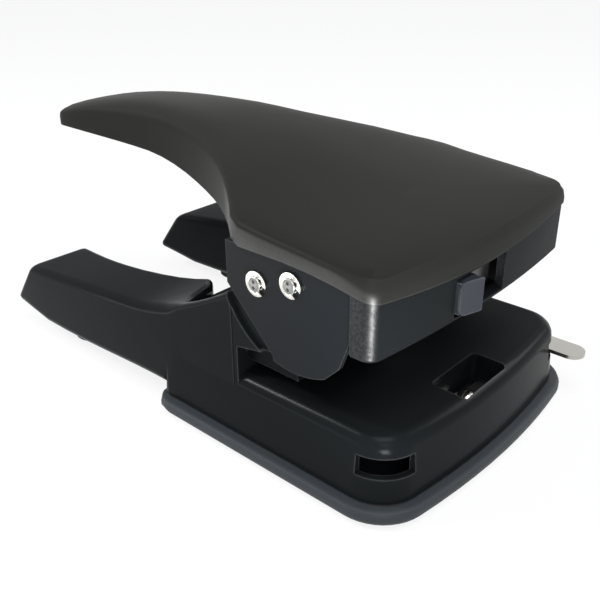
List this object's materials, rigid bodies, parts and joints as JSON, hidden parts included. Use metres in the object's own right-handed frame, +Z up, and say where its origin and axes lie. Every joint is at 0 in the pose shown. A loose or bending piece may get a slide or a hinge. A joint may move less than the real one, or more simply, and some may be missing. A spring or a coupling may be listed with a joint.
{
  "type": "two-hole paper punch",
  "caption": "Desk two-hole punch: forked base with a paper throat, long lever cover with a lock, sprung punches, sliding paper guide and chip tray.",
  "frame": {"origin": "on the table, midway between the two hole axes", "axes": "+X across the width along the row of holes, +Y from the paper side towards the lever tongue, +Z up"},
  "size_m": [0.122, 0.229, 0.1005],
  "materials": {
    "shell": "fine satin black",
    "plate": "satin dark grey paint",
    "tray": "matt blue grey",
    "button": "matt grey",
    "steel": "bright steel",
    "nickel": "nickel plate",
    "rubber": "black rubber"
  },
  "bodies": {
    "base": {"base_housing": "shell", "base_fork": "shell", "rear_feet": "rubber", "punch_frame": "steel", "frame_rivets": "steel", "die_plate": "steel", "die_left": "steel", "die_right": "steel", "die_screws": "steel", "guide_bush_left": "steel", "guide_bush_right": "steel", "guide_stud": "nickel", "guide_washer": "nickel", "fulcrum_shaft": "steel", "fulcrum_clips": "nickel"},
    "lever": {"lever_bracket": "plate", "lever_cover": "shell", "front_panel": "shell", "drive_shaft": "steel", "drive_clips": "nickel"},
    "lock": {"lock_slide": "steel", "lock_button": "button", "lock_rivets": "steel"},
    "punch_l": {"punch_left": "steel", "spring_left": "steel"},
    "punch_r": {"punch_right": "steel", "spring_right": "steel"},
    "guide": {"paper_guide": "nickel"},
    "tray": {"chip_tray": "tray"}
  },
  "joints": [
    {"name": "lever_hinge", "type": "hinge", "parent": "base", "child": "lever", "pos_m": [0, -0.0133, 0.0703], "axis": [-1, 0, 0], "range_deg": [0, 20], "stiffness_Nm_per_rad": 1.8, "springref_deg": -14.32},
    {"name": "lock_slide_x", "type": "slide", "parent": "lever", "child": "lock", "axis": [1, 0, 0], "range_m": [0, 0.018]},
    {"name": "punch_left_drop", "type": "slide", "parent": "base", "child": "punch_l", "axis": [0, 0, -1], "range_m": [0, 0.0047], "deforming": ["spring_left"]},
    {"name": "punch_right_drop", "type": "slide", "parent": "base", "child": "punch_r", "axis": [0, 0, -1], "range_m": [0, 0.0047], "deforming": ["spring_right"]},
    {"name": "guide_slide", "type": "slide", "parent": "base", "child": "guide", "axis": [1, 0, 0], "range_m": [0, 0.03]},
    {"name": "tray_drop", "type": "slide", "parent": "base", "child": "tray", "axis": [0, 0, -1], "range_m": [0, 0.02]}
  ],
  "couplings": [
    {"joint": "punch_left_drop", "follows": "lever_hinge", "m_per_rad": 0.01326},
    {"joint": "punch_right_drop", "follows": "lever_hinge", "m_per_rad": 0.01326}
  ]
}
